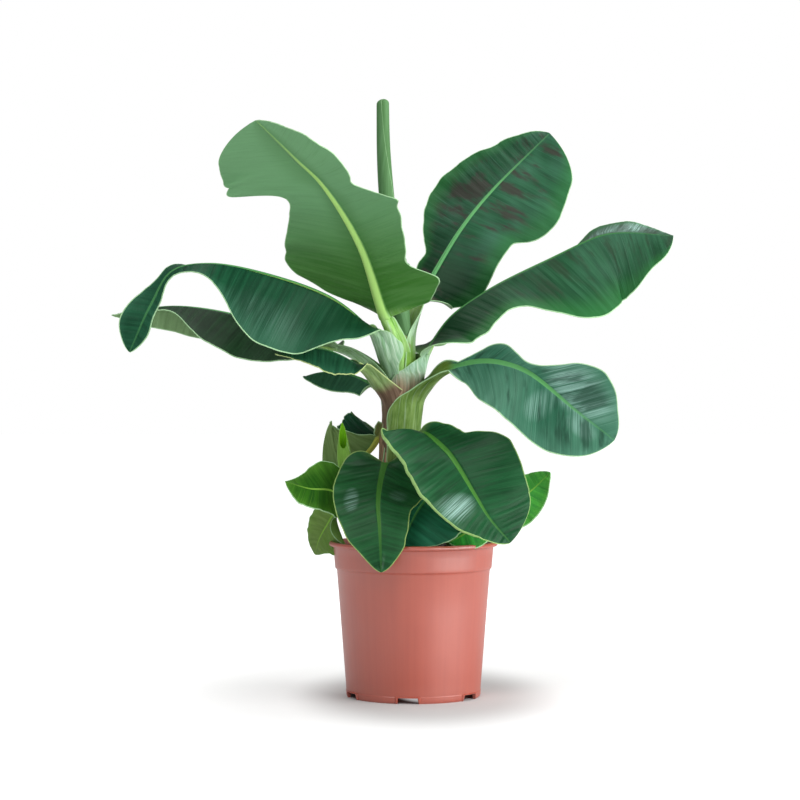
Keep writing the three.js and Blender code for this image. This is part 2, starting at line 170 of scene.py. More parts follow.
def lamp(name, place, aim, side, power):
    """A square soft lamp at a place, turned so that it shines at a point."""
    light = bpy.data.lights.new(name, "AREA")
    light.size = side
    light.energy = power
    thing = bpy.data.objects.new(name, light)
    scene.collection.objects.link(thing)
    thing.location = place
    toward = [a - p for a, p in zip(aim, place)]
    thing.rotation_euler = Vector(toward).to_track_quat("-Z", "Y").to_euler()


lamp("key", (-0.9, -1.9, 2.3), (0, 0, 0.35), 1.6, 28)
lamp("side", (2.0, -1.2, 0.55), (0, 0, 0.3), 2.6, 106)
lamp("top", (0.3, 0.4, 2.6), (0, 0, 0.2), 2.0, 39)

camera_data = bpy.data.cameras.new("camera")
camera_data.lens = CAMERA_LENS
camera_data.sensor_width = CAMERA_SENSOR
camera = bpy.data.objects.new("camera", camera_data)
scene.collection.objects.link(camera)
camera.location = CAMERA_PLACE
camera.rotation_euler = (math.radians(90), 0, 0)
scene.camera = camera

# ---------------------------------------------------------------- pot
# A round nursery pot, moulded in one piece of terracotta-coloured plastic: a tapering wall, a stepped
# collar under a rolled rim, and a skirt foot with six drain notches round it.
MM = 0.001
POT_WALL = 2.2
POT_FOOT_RADIUS = 83
POT_COLLAR_RADIUS = 95.5
POT_COLLAR_FOOT = 158
POT_FLOOR = 11
NOTCHES = 6
NOTCH_HALF = 8.2
NOTCH_SLANT = 0.9
NOTCH_RISE = 7.2
NOTCH_RIM = 1.6
NOTCH_FRAME = 1.4
NOTCH_TURN = -95


def colour(red, green, blue):
    """The shader's colour for a screen colour given from 0 to 255."""
    screen = np.array([red, green, blue]) / 255
    light = np.where(screen <= 0.04045, screen / 12.92, ((screen + 0.055) / 1.055) ** 2.4)
    return (*light.tolist(), 1.0)


def piece(name, mesh, look, nodes=(), sharp=50):
    """Shows a mesh as a piece that rides on the plant and stands for the nodes named."""
    mesh.polygons.foreach_set("use_smooth", np.ones(len(mesh.polygons), bool))
    mesh.set_sharp_from_angle(angle=math.radians(sharp))
    mesh.materials.append(look)
    made = bpy.data.objects.new(name, mesh)
    scene.collection.objects.link(made)
    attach(made, "root")
    if nodes:
        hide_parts(*nodes)


def merged(mesh):
    """Merges the points that lie together and turns every face outwards."""
    work = bmesh.new()
    work.from_mesh(mesh)
    bmesh.ops.remove_doubles(work, verts=work.verts, dist=2e-6)
    bmesh.ops.recalc_face_normals(work, faces=work.faces)
    work.to_mesh(mesh)
    work.free()
    return mesh


def cells(spot):
    """The faces of a grid of point numbers: four neighbours make a face."""
    return np.stack([spot[:-1, :-1], spot[:-1, 1:], spot[1:, 1:], spot[1:, :-1]], -1).reshape(-1, 4)


def grid_mesh(name, grid, wrap_rows=False, wrap_columns=False):
    """A mesh over a grid of points, in millimetres. Its rows or columns may close round."""
    rows, columns = grid.shape[:2]
    spot = np.arange(rows * columns).reshape(rows, columns)
    if wrap_rows:
        spot = np.vstack([spot, spot[:1]])
    if wrap_columns:
        spot = np.hstack([spot, spot[:, :1]])
    mesh = bpy.data.meshes.new(name)
    mesh.from_pydata((grid.reshape(-1, 3) * MM).tolist(), [], cells(spot).tolist())
    return mesh


def wall_radius(z):
    """The radius outside of the tapering wall at a height: a straight line from foot to collar."""
    return POT_FOOT_RADIUS + (POT_COLLAR_RADIUS - POT_FOOT_RADIUS) * z / POT_COLLAR_FOOT


def pot_grid():
    """The pot's outline turned about the vertical: a point (r, z) of it makes a ring (r cos a, r sin a, z).
    In a notch the foot's points rise to the notch's height, and round it the wall swells by NOTCH_RIM."""
    foot = POT_FOOT_RADIUS
    outline = [(foot - 0.5, 0.0), (foot, 0.5)]
    outline += [(wall_radius(z) + (0.5 if z < 8 else 0.0), z)
                for z in (2.5, 5, 7.6, 8.4, 10, 14, 24, 60, 110, 156)]
    outline += [(96.2, 158.2), (97.4, 159.2), (97.7, 160.4), (97.9, 163), (99.0, 176), (99.7, 184.6),
                (100.2, 185.9), (101.5, 186.5), (103.9, 186.7), (104.7, 187.4), (105, 188.8), (104.9, 190.2),
                (104.1, 191.4), (102.8, 192), (101.0, 191.9), (99.3, 190.9), (98.3, 188.6), (97.6, 184),
                (96.4, 172), (95.2, 161)]
    outline += [(wall_radius(z) - POT_WALL, z) for z in (156, 80, 12)]
    outline += [(76, POT_FLOOR), (30, POT_FLOOR), (0, POT_FLOOR), (0, 0), (23, 0), (24, 1), (24.5, 8.8),
                (wall_radius(9) - POT_WALL, 8.8), (wall_radius(7) - POT_WALL, 7.3), (foot - POT_WALL, 3),
                (foot - POT_WALL + 0.3, 0.0)]
    radius, height = np.array(outline, float).T
    middles = NOTCH_TURN + 360 / NOTCHES * np.arange(NOTCHES)
    notch_edge = NOTCH_HALF + NOTCH_SLANT
    marks = [NOTCH_HALF, notch_edge, notch_edge + 0.6, notch_edge + NOTCH_FRAME]
    edges = [m + side * mark for m in middles for side in (-1, 1) for mark in marks]
    angles = np.unique(np.round(np.mod(np.concatenate([np.arange(0, 360, 1.5), edges]), 360), 4))
    away = np.abs((angles[:, None] - middles[None] + 180) % 360 - 180).min(1)
    rise = NOTCH_RISE * np.clip((notch_edge - away) / NOTCH_SLANT, 0, 1)
    near = np.clip((notch_edge + NOTCH_FRAME - away) / 0.8, 0, 1)
    low = height < NOTCH_RISE + 1
    outer = low & (radius > foot - 1)
    swell = NOTCH_RIM * near[:, None] * np.where(outer, np.clip((NOTCH_RISE + 3 - height) / 2, 0, 1), 0)
    z = np.where(low & (radius > 30), np.maximum(height, rise[:, None]), height)
    r = radius + swell
    a = np.radians(angles)[:, None]
    return np.stack([r * np.cos(a), r * np.sin(a), np.broadcast_to(z, r.shape)], -1)


pot_look, shader, paint = material("terracotta_plastic")
place = paint.add("TexCoord", {}, {}, 3)
x, y, z = place.parts()
turn = y.maths("ARCTAN2", x)
streaks = paint.vector(turn * 14.0, z * 3.0, 0.0).noise(1.0, 5.0, 0.6)
clouds = place.noise(14.0, 4.0, 0.55)
specks = place.noise(900.0, 2.0, 0.5)
body = streaks.rises(0.3, 0.7).mix(colour(160, 54, 24), colour(166, 60, 30))
body = (clouds.rises(0.45, 0.75) * 0.3).mix(body, colour(178, 70, 42))
dusty = (z.rises(0.03, 0.0) * clouds * 0.3).mix(body, colour(190, 124, 110))
# painted highlight: the top of the rolled rim is made lighter, where the light from above falls on it
edge = (z.rises(0.188, 0.191) * 0.3).mix(dusty, colour(190, 104, 84))
# painted shade: the inside of the rim above the soil is darkened, as it lies in the shadow of the rim and the
# leaves
shaded_inside_rim = (x * x + y * y).rises(0.00957, 0.0095) * z.rises(0.165, 0.175)
feed(shader, shaded_inside_rim.mix(edge, colour(84, 50, 44)), "Base Color")
feed(shader, clouds.rises(0.3, 0.8) * 0.08 + 0.35, "Roughness")
shader.inputs["IOR"].default_value = 1.75
shader.inputs["Specular IOR Level"].default_value = 0.8
relief = paint.add("Bump", {}, {"Strength": 0.12, "Distance": 0.0006, "Height": streaks * 0.4 + specks * 0.3})
feed(shader, relief, "Normal")
pot_mesh = merged(grid_mesh("pot_shell", pot_grid(), wrap_rows=True, wrap_columns=True))
piece("pot_shell", pot_mesh, pot_look, ["pot"], sharp=32)

# ---------------------------------------------------------------- soil
# Moist potting soil, a little below the rim: one body with a lumpy top, and crumbs of bark and peat on it.
SOIL_RADIUS = 95.2
SOIL_HEIGHT = 185.5
SOIL_FLOOR = 11.4
LUMPS = ((3.2, 17), (2.0, 6.5), (1.1, 3.1))  # the height and the width of each size of lump
CRUMBS = 420
CRUMB_SIZES = (1.2, 4.2)


def bumps(x, y, size, seed):
    """Smooth heights from 0 to 1: a square grid of random numbers, size apart, eased between its corners."""
    lattice = np.random.default_rng(seed).random((61, 61))
    u = x / size + 30
    v = y / size + 30
    i = np.clip(np.floor(u).astype(int), 0, 59)
    j = np.clip(np.floor(v).astype(int), 0, 59)
    s = u - i
    t = v - j
    s = s * s * (3 - 2 * s)
    t = t * t * (3 - 2 * t)
    low = lattice[i, j] * (1 - s) + lattice[i + 1, j] * s
    high = lattice[i, j + 1] * (1 - s) + lattice[i + 1, j + 1] * s
    return low * (1 - t) + high * t


def soil_height(x, y):
    """The soil's top: a level plane with lumps of three sizes, sinking a little towards the pot's wall."""
    lumps = sum(height * bumps(x, y, width, seed) for seed, (height, width) in enumerate(LUMPS, 1))
    return SOIL_HEIGHT - 3.6 + lumps - 0.8 * (np.hypot(x, y) / SOIL_RADIUS) ** 6


def soil_grid():
    """Rings from the middle of the top out to the wall, down the wall, and in to the middle of the bottom."""
    angles = np.linspace(0, 2 * np.pi, 240, endpoint=False)[:, None]
    top = np.linspace(0, SOIL_RADIUS, 80)
    x = top * np.cos(angles)
    y = top * np.sin(angles)
    rings = [np.stack([x, y, soil_height(x, y)], -1)]
    foot = wall_radius(12) - POT_WALL - 0.4
    for radius, z in ((SOIL_RADIUS, 165), (93.0, 158), (foot, SOIL_FLOOR), (0, SOIL_FLOOR)):
        side = np.stack([radius * np.cos(angles), radius * np.sin(angles), np.full_like(angles, z)], -1)
        rings.append(side)
    return np.concatenate(rings, 1)


def crumb_mesh():
    """Small eight-sided lumps, each stretched and turned at random, half sunk in the soil's top."""
    draw = np.random.default_rng(7)
    corners = np.array([(1, 0, 0), (-1, 0, 0), (0, 1, 0), (0, -1, 0), (0, 0, 1), (0, 0, -1)], float)
    sides = np.array([(0, 2, 4), (2, 1, 4), (1, 3, 4), (3, 0, 4), (2, 0, 5), (1, 2, 5), (3, 1, 5), (0, 3, 5)])
    size = draw.uniform(*CRUMB_SIZES, CRUMBS)[:, None, None] * draw.uniform(0.35, 1.0, (CRUMBS, 1, 3))
    size = np.minimum(size, 4)
    spin = np.linalg.qr(draw.normal(size=(CRUMBS, 3, 3)))[0]
    spin *= np.sign(np.linalg.det(spin))[:, None, None]
    jitter = 1 + draw.uniform(-0.25, 0.25, (CRUMBS, 6, 1))
    points = np.einsum("nij,nkj->nki", spin, corners * jitter * size)
    radius = (SOIL_RADIUS - 6) * np.sqrt(draw.random(CRUMBS))
    angle = draw.uniform(0, 2 * np.pi, CRUMBS)
    x = radius * np.cos(angle)
    y = radius * np.sin(angle)
    points += np.stack([x, y, soil_height(x, y) + 0.4], -1)[:, None]
    mesh = bpy.data.meshes.new("soil_crumbs")
    faces = (sides[None] + 6 * np.arange(CRUMBS)[:, None, None]).reshape(-1, 3)
    mesh.from_pydata((points.reshape(-1, 3) * MM).tolist(), [], faces.tolist())
    return mesh


soil_look, shader, paint = material("moist_soil")
place = paint.add("TexCoord", {}, {}, 3)
grain = place.noise(420.0, 6.0, 0.7)
clods = place.noise(90.0, 4.0, 0.6)
dark = grain.rises(0.35, 0.7).mix(colour(34, 23, 25), colour(82, 62, 62))
feed(shader, (clods.rises(0.5, 0.7) * 0.6).mix(dark, colour(70, 50, 46)), "Base Color")
feed(shader, grain * 0.3 + 0.65, "Roughness")
relief = paint.add("Bump", {}, {"Strength": 0.8, "Distance": 0.002, "Height": grain + clods})
feed(shader, relief, "Normal")
piece("soil_body", merged(grid_mesh("soil_body", soil_grid(), wrap_rows=True)), soil_look, ["soil"])
piece("soil_crumbs", crumb_mesh(), soil_look, sharp=20)

# ---------------------------------------------------------------- false stem
# The stem is a roll of leaf sheaths, one inside the other. Its core shows between them: pinkish brown low
# down where old sheaths have dried, green above.
STEM_LEVELS = [172, 260, 350, 436, 470]
STEM_X = [-18, -15, -12, -9, -9]
STEM_Y = [0, 0, 1, 2, 2]
STEM_RADIUS = [25.5, 23, 19, 12, 8]
STEM_LAP = 1.6
STEM_TOP = 455  # the core closes in a dome inside the rolled leaf
STEM_DOME = 30
PLANT_X = -3  # the plant stands a little to the left of the pot's middle; its points are measured from here


def smooth(low, high, x):
    """0 below low, 1 above high, and 3t^2 - 2t^3 between them."""
    t = np.clip((x - low) / (high - low), 0, 1)
    return t * t * (3 - 2 * t)


def stem_middle(z):
    """The middle of the stem at a height."""
    z = np.asarray(z, float)
    return np.stack([np.interp(z, STEM_LEVELS, STEM_X), np.interp(z, STEM_LEVELS, STEM_Y), z], -1)


def stem_grid():
    """Rings round the stem's middle. Each has a slow wave, and one step where a sheath's edge laps. Over the
    top the radius shrinks to nothing, as the root of one less a smooth step squared."""
    z = np.linspace(STEM_LEVELS[0], STEM_TOP, 90)[:, None]
    angle = np.linspace(0, 2 * np.pi, 96, endpoint=False)
    lap = np.mod(angle + z * 0.004 + 1.2, 2 * np.pi) / (2 * np.pi)
    radius = np.interp(z, STEM_LEVELS, STEM_RADIUS) * (1 + 0.02 * np.sin(3 * angle + z * 0.01))
    radius += STEM_LAP * (lap ** 3 - 0.5)
    radius *= np.sqrt(1 - smooth(STEM_TOP - STEM_DOME, STEM_TOP, z) ** 2)
    radius[0] = 0
    radius[-1] = 0
    z_all = z + 0 * angle
    z_all[0] = z_all[1]
    z_all[-1] = z_all[-2]
    middle = stem_middle(z_all) + (PLANT_X, 0, 0)
    return middle + np.stack([radius * np.cos(angle), radius * np.sin(angle), 0 * radius], -1)


stem_look, shader, paint = material("stem_core")
place = paint.add("TexCoord", {}, {}, 3)
x, y, z = place.parts()
fibres = paint.vector(x * 260.0, y * 260.0, z * 12.0).noise(1.0, 5.0, 0.6)
cloud = place.noise(45.0, 3.0, 0.5)
dry = fibres.rises(0.35, 0.7).mix(colour(134, 92, 78), colour(196, 152, 132))
fresh = cloud.rises(0.4, 0.7).mix(colour(116, 140, 74), colour(152, 172, 110))
feed(shader, (z + cloud * 0.06).rises(0.30, 0.42).mix(dry, fresh), "Base Color")
feed(shader, fibres * 0.25 + 0.42, "Roughness")
feed(shader, paint.add("Bump", {}, {"Strength": 0.5, "Distance": 0.001, "Height": fibres}), "Normal")
stem_mesh = merged(grid_mesh("stem_core", stem_grid(), wrap_columns=True))
piece("stem_core", stem_mesh, stem_look, ["pseudostem"])

# ---------------------------------------------------------------- leaves
# A banana leaf is one sheet: a sheath that wraps the stem, a channelled stalk, and a blade in two halves on a
# thick rib that stands out below. Sizes are in millimetres and degrees. Left and right are as seen from the
# stem, looking out along the leaf, and each list runs evenly from the near end to the far end.
BLADE_THICK = 0.9
BLADE_LEAST = 1.2  # the half blade's least width, at its base and its tip
STALK_ROWS = 56
RIB_COLUMNS = 6
SHEATH_SUNK = 26  # how far a sheath runs on below its lowest level, closing in under the stem's surface
SHEATH_DEPTH = 3  # how deep it ends under that surface
MARGIN_WAVE = 2.0
MARGIN_WAVES = 7
PLEAT_HEIGHT = 0.16
SWELL_HEIGHT = 0.5
FOLD_FROM = 0.91  # a folded margin turns over from this share of the half blade's width
FOLD_EASE = 0.06
LEAF = {"petiole": [], "skip": 0, "roll": [0], "base": 0.16, "blunt": 0.4, "lobe": 0, "lean": 0.3,
        "rib_half": [4.5, 2.8, 1.0]}
BIG = {**LEAF, "rows": 210, "columns": 26}
MIDDLING = {**LEAF, "rows": 150, "columns": 20}
SMALL = {**LEAF, "rows": 100, "columns": 14}


def along(values, u):
    """A smooth value at share u of a run, through values at even steps from 0 to 1 (uniform Catmull-Rom)."""
    values = np.asarray(values, float)
    if len(values) == 1:
        return np.full_like(u, values[0])
    spot = np.clip(u, 0, 1) * (len(values) - 1)
    i = np.minimum(np.floor(spot).astype(int), len(values) - 2)
    s = spot - i
    a, b, c, d = [values[np.clip(i + k, 0, len(values) - 1)] for k in (-1, 0, 1, 2)]
    curve = (c - a) * s + (2 * a - 5 * b + 4 * c - d) * s ** 2 + (3 * b - a - 3 * c + d) * s ** 3
    return 0.5 * (2 * b + curve)


def run_through(points, count=4000):
    """Points close together on a centripetal Catmull-Rom curve through a few points, and each one's distance
    from the first."""
    knots = np.asarray(points, float) + (PLANT_X, 0, 0)
    knots = np.vstack([2 * knots[0] - knots[1], knots, 2 * knots[-1] - knots[-2]])
    t = np.linspace(0, len(knots) - 3, count)
    i = np.minimum(np.floor(t).astype(int), len(knots) - 4)
    s = (t - i)[:, None]
    a, b, c, d = [knots[i + k] for k in range(4)]
    gap = [np.sqrt(np.linalg.norm(q - p, axis=1))[:, None] for p, q in ((a, b), (b, c), (c, d))]
    one = ((b - a) / gap[0] - (c - a) / (gap[0] + gap[1]) + (c - b) / gap[1]) * gap[1]
    two = ((c - b) / gap[1] - (d - b) / (gap[1] + gap[2]) + (d - c) / gap[2]) * gap[1]
    run = b + one * s + (3 * (c - b) - 2 * one - two) * s ** 2 + (2 * (b - c) + one + two) * s ** 3
    distance = np.concatenate([[0], np.cumsum(np.linalg.norm(np.diff(run, axis=0), axis=1))])
    return run, distance


def points_at(spots, run, distance):
    """The points of a run at some distances along it, on the straight line between its nearest two points."""
    return np.stack([np.interp(spots, distance, run[:, k]) for k in range(3)], -1)


def unit(v):
    """Vectors brought to a length of 1."""
    return v / np.maximum(np.linalg.norm(v, axis=-1, keepdims=True), 1e-9)


def outline_share(u, base, blunt):
    """The half blade's outline from 0 to 1: a power curve opens it at the base, its sides run nearly
    parallel, and another power curve closes it at the tip."""
    opening = np.clip(u / base, 0, 1)
    tip = np.clip((u - blunt) / (1 - blunt), 0, 1)
    return (1 - (1 - opening) ** 2.2) ** 0.6 * np.maximum(1 - tip ** 2.6, 0) ** 0.62


def leaf_grid(leaf):
    """One leaf, row by row. A row starts at the rib and steps outwards on both sides, and each step turns by
    the row's lift plus its curl times the share of the way to the margin. In the sheath and the stalk a row
    is an arc of the given radius over the given angle. Returns both sides and what the material reads."""
    rib = np.array(leaf["rib"], float)
    blade_length = (1 - leaf["share"]) * run_through(rib)[1][-1]
    out = np.array([*leaf.get("heading", (rib[-1] - rib[0])[:2]), 0.0])
    out /= np.linalg.norm(out)
    levels = leaf["levels"]
    hugs = np.broadcast_to(leaf["hug"], len(levels))
    foot = [stem_middle(z) + hug * out for z, hug in zip(levels, hugs)]
    sunk_length = 0
    if foot:
        sunk_radius = np.interp(levels[0] - SHEATH_SUNK, STEM_LEVELS, STEM_RADIUS) - SHEATH_DEPTH
        foot.insert(0, stem_middle(levels[0] - SHEATH_SUNK) + sunk_radius * out)
        sunk_length = np.linalg.norm(foot[1] - foot[0])
    path = [*foot, *leaf["petiole"], *rib[leaf["skip"]:]]
    run, distance = run_through(path)
    stalk_length = distance[-1] - blade_length
    x = np.linspace(0, 1, leaf["rows"])
    eased = 0.35 * x + 0.65 * (0.5 - 0.5 * np.cos(np.pi * x))
    spots = np.concatenate([np.linspace(0, stalk_length, STALK_ROWS, endpoint=False),
                            stalk_length + blade_length * eased])
    centre = points_at(spots, run, distance)
    step = 2.0
    forward = unit(points_at(spots + step, run, distance) - points_at(spots - step, run, distance))
    across = np.array([out[1], -out[0], 0])
    side = unit(across - forward * (forward @ across)[:, None])
    up = np.cross(side, forward)
    u = (spots - stalk_length) / blade_length
    p = np.maximum(spots - sunk_length, 0) / (stalk_length - sunk_length)
    turn = (np.radians(along(leaf["roll"], u)) * smooth(-0.25, 0.0, u))[:, None]
    a = side * np.cos(turn) + up * np.sin(turn)
    n = up * np.cos(turn) - side * np.sin(turn)
    opened = smooth(-0.03, leaf["base"], u)
    back = leaf["lobe"] * (1 - smooth(0, 0.2, u)) * smooth(-0.03, 0.03, u)
    radius = along(leaf["radius"], p)
    if foot:
        radius += (sunk_radius - radius) * np.maximum(1 - spots / sunk_length, 0)
    rib_half = np.interp(u, [0, 0.5, 1], leaf["rib_half"])
    flesh = np.where(u < 0, along(leaf["flesh"], p), leaf["flesh"][-1] * (1 - 0.9 * smooth(0, 0.95, u)))
    ripple = MARGIN_WAVES * np.pi * u
    halves = {}
    for name, sign in (("right", 1), ("left", -1)):
        widths, lifts, curls = (*leaf[name], [0])[:3]
        wrap = np.radians(along(leaf["wrap_" + name], p))
        hugging = radius * wrap
        blade = along(widths, u) * outline_share(u, leaf["base"], leaf["blunt"])
        width = np.maximum(hugging * (1 - opened), np.where(u > 0, np.maximum(blade, BLADE_LEAST), 0))
        wave = MARGIN_WAVE * (np.sin(2 * ripple + sign) + 0.6 * np.sin(3.4 * ripple + 2 * sign + 1))
        rib_core = rib_half + (0.8 * hugging - rib_half) * (1 - opened) ** 2
        core = np.minimum(np.where(u < 0, 0.8 * width, rib_core), 0.5 * width)
        k = np.linspace(0, 1, RIB_COLUMNS + 1)
        outer = np.linspace(0, 1, leaf["columns"] + 1)[1:]
        outer = 1 - (1 - outer) ** 1.15
        reach_out = np.concatenate([core[:, None] * k, core[:, None] + (width - core)[:, None] * outer], 1)
        share = reach_out / width[:, None]
        lift = np.radians(along(lifts, u)) * opened
        curl = wrap * (1 - opened) + np.radians(along(curls, u)) * opened
        bend = lift[:, None] + curl[:, None] * share
        bend += np.radians(wave * opened)[:, None] * share ** 2
        for low, high, turned in leaf.get("fold_" + name, []):
            folded = smooth(low, low + FOLD_EASE, u) * smooth(high, high - FOLD_EASE, u)
            bend += np.radians(turned) * smooth(FOLD_FROM, 1.0, share) * folded[:, None]
        steps = np.diff(reach_out, axis=1)[..., None]
        middle = 0.5 * (bend[:, 1:] + bend[:, :-1])[..., None]
        moves = steps * (sign * a[:, None] * np.cos(middle) + n[:, None] * np.sin(middle))
        spots_out = centre[:, None] + np.concatenate([np.zeros((len(u), 1, 3)), np.cumsum(moves, 1)], 1)
        spots_out -= forward[:, None] * (back[:, None] * share ** 2)[..., None]
        within = np.clip(reach_out / core[:, None], 0, 1)
        halves[name] = (spots_out, reach_out * sign, share, np.sqrt(np.maximum(1 - within ** 2, 0)))
    right, left = halves["right"], halves["left"]
    points, distance_out, share, rib_near = [np.concatenate([one[:, :0:-1], other], 1)
                                             for one, other in zip(left, right)]
    normal = unit(np.cross(np.gradient(points, axis=1), np.gradient(points, axis=0)))
    length_along = (spots - stalk_length)[:, None] + 0 * share
    vein = length_along - leaf["lean"] * np.abs(distance_out)
    pleat = (np.sin(vein / 1.55) + np.sin(vein / 2.3 + 1) + np.sin(vein / 0.93 + 2)) * PLEAT_HEIGHT
    swell = (np.sin(vein / 9.0 + 1) + np.sin(vein / 14.0)) * SWELL_HEIGHT
    mound = (pleat + swell) * smooth(0, 0.06, u)[:, None] * smooth(0.04, 0.3, share) * (1 - 0.5 * share)
    points = points + normal * mound[..., None]
    groove = rib_near * np.minimum(0.22 * flesh, 1.1)[:, None] * smooth(-0.05, 0.1, u)[:, None]
    thick = BLADE_THICK + flesh[:, None] * rib_near
    top = points - normal * groove[..., None]
    under = points - normal * thick[..., None]
    return top, under, length_along, distance_out, u[:, None] + 0 * share, rib_near, share


def sheet_mesh(name, top, under, length_along, distance_out, u, rib_near, share):
    """Closes the upper and lower sides into one sheet and gives each point what the material reads."""
    rows, columns = share.shape
    spot = np.arange(rows * columns).reshape(rows, columns)
    low = spot + rows * columns
    faces = [cells(spot), cells(low)[:, ::-1],
             cells(np.stack([low[:, 0], spot[:, 0]], 1)), cells(np.stack([spot[:, -1], low[:, -1]], 1)),
             cells(np.stack([low[0], spot[0]], 0)), cells(np.stack([spot[-1], low[-1]], 0))]
    mesh = bpy.data.meshes.new(name)
    points = np.concatenate([top.reshape(-1, 3), under.reshape(-1, 3)]) * MM
    mesh.from_pydata(points.tolist(), [], np.concatenate(faces).tolist())
    below = np.repeat([0.0, 1.0], rows * columns)
    blade = np.stack([length_along, distance_out, u], -1).reshape(-1, 3) * (MM, MM, 1)
    parts = np.stack([rib_near, share], -1).reshape(-1, 2)
    both = {"blade": np.tile(blade, (2, 1)), "parts": np.column_stack([np.tile(parts, (2, 1)), below])}
    for title, values in both.items():
        mesh.attributes.new(title, "FLOAT_VECTOR", "POINT").data.foreach_set("vector", values.ravel())
    return mesh


def leaf_look(name, tint):
    """A leaf's material. Streaks follow the side veins, which leave the rib and lean towards the tip. The
    rib, margin, under side, stalk and blotches each have their own colour. Over them go a painted sheen,
    painted shade towards the stem, painted light through the under side towards the tip, and gleams,
    which are painted highlights. A gleam is an ellipse, given by its middle as a share of the length and
    mm from the rib, its half length, its half width in mm, and its strength."""
    made, shader, paint = material(name)
    length, out, u = paint.add("Attribute", {"attribute_name": "blade"}, {}, 1).parts()
    rib, share, under = paint.add("Attribute", {"attribute_name": "parts"}, {}, 1).parts()
    place = paint.add("TexCoord", {}, {}, 3)
    side = out.maths("ABSOLUTE")
    vein = length - side * tint["lean"]
    half = out.maths("SIGN") * 7.0
    fine = paint.vector(vein * 900.0, side * 9.0, half).noise(1.0, 3.0, 0.6)
    broad = paint.vector(vein * 150.0, side * 9.0, half).noise(1.0, 3.0, 0.55)
    bands = paint.vector(vein * 45.0, side * 12.0, half + 3.0).noise(1.0, 4.0, 0.6)
    cloud = place.noise(9.0, 3.0, 0.5)

    upper = broad.rises(0.32, 0.68).mix(tint["dark"], tint["upper"])
    upper = (fine.rises(0.55, 0.72) * tint["veins"]).mix(upper, tint["bright"])
    upper = (fine.rises(0.46, 0.34) * 0.35).mix(upper, tint["dark"])
    # painted sheen: cloudy patches of the upper side are mixed towards the bright colour
    upper = (cloud.rises(0.42, 0.7) * tint["sheen"]).mix(upper, tint["bright"])
    # painted shade: the upper side darkens towards the stem, where the crown shades it
    upper = (u.rises(0.6, 0.05) * tint["shade"]).mix(upper, tint["deep"])
    # painted highlights: each gleam lightens an ellipse of the upper side towards a pale glossy colour
    for middle, away, length_half, width_half, strength in tint["gleams"]:
        spot = (u - middle) * (1 / length_half)
        aside = (out - away * MM) * (1 / (width_half * MM))
        gleam = (spot * spot + aside * aside).rises(1.0, 0.0) * fine.rises(0.3, 0.66) * strength
        upper = (gleam * (broad.rises(0.36, 0.58) * 0.75 + 0.25)).mix(upper, tint["gleam"])
    spots = bands.rises(0.50, 0.62) * share.rises(0.95, 0.55) * tint["blotch"]
    upper = spots.mix(upper, tint["blot"])
    upper = (share.rises(0.55, 1.0) * tint["rim"]).mix(upper, tint.get("rim_colour", tint["bright"]))

    lower = broad.rises(0.3, 0.7).mix(tint["under"], tint["under_bright"])
    # painted light: the under side grows lighter towards the tip, where light shines through the blade
    painted_glow = u.rises(0.15, 0.62) * tint["painted_glow"]
    lower = painted_glow.mix(lower, tint.get("painted_glow_colour", tint["under_bright"]))
    lower = (fine.rises(0.44, 0.3) * 0.28).mix(lower, tint["under_dark"])
    lower = (share.rises(0.35, 0.0) * 0.35).mix(lower, tint["under_dark"])
    blade = under.rises(0.4, 0.6).mix(upper, lower)
    rib_colour = under.rises(0.4, 0.6).mix(tint["rib"], tint["rib_under"])
    rib_shows = rib.rises(0.05, 0.6) * u.rises(1.0, 0.55) * 0.7 + rib.rises(0.1, 0.5) * 0.25
    blade = rib_shows.mix(blade, rib_colour)

    wax = paint.vector(length * 30.0, out * 160.0, 0.0).noise(1.0, 4.0, 0.6)
    threads = paint.vector(length * 12.0, out * 420.0, 2.0).noise(1.0, 3.0, 0.6)
    stalk = wax.rises(0.35, 0.68).mix(tint["stalk"], tint["stalk_wax"])
    stalk = (threads.rises(0.46, 0.3) * 0.5).mix(stalk, tint["stalk_dark"])
    stalk = (threads.rises(0.52, 0.68) * tint["waxy"]).mix(stalk, tint["powder"])
    foot = (threads.rises(0.4, 0.66) * 0.4).mix(tint["foot"], tint["foot_streak"])
    foot = (threads.rises(0.48, 0.34) * 0.4).mix(foot, tint["foot_dark"])
    stalk = (u + wax * 0.08).rises(tint["foot_from"], tint["foot_from"] - 0.14).mix(stalk, foot)
    stalk = (under.rises(0.6, 0.4) * 0.75).mix(stalk, tint["channel"])
    whole = u.rises(-0.03, 0.05).mix(stalk, blade)
    from_margin = side.maths("DIVIDE", share.maths("MAXIMUM", 0.01)) - side
    edge = from_margin.rises(0.0017, 0.0007) * share.rises(0.5, 0.8) * 0.85
    feed(shader, edge.mix(whole, tint["margin"]), "Base Color")

    feed(shader, broad * 0.16 + (tint["rough"] - 0.06) + under * 0.12, "Roughness")
    shader.inputs["Specular IOR Level"].default_value = tint["gloss"]
    relief = {"Strength": 0.45, "Distance": 0.0009, "Height": fine * 0.5 + broad}
    feed(shader, paint.add("Bump", {}, relief), "Normal")
    return made


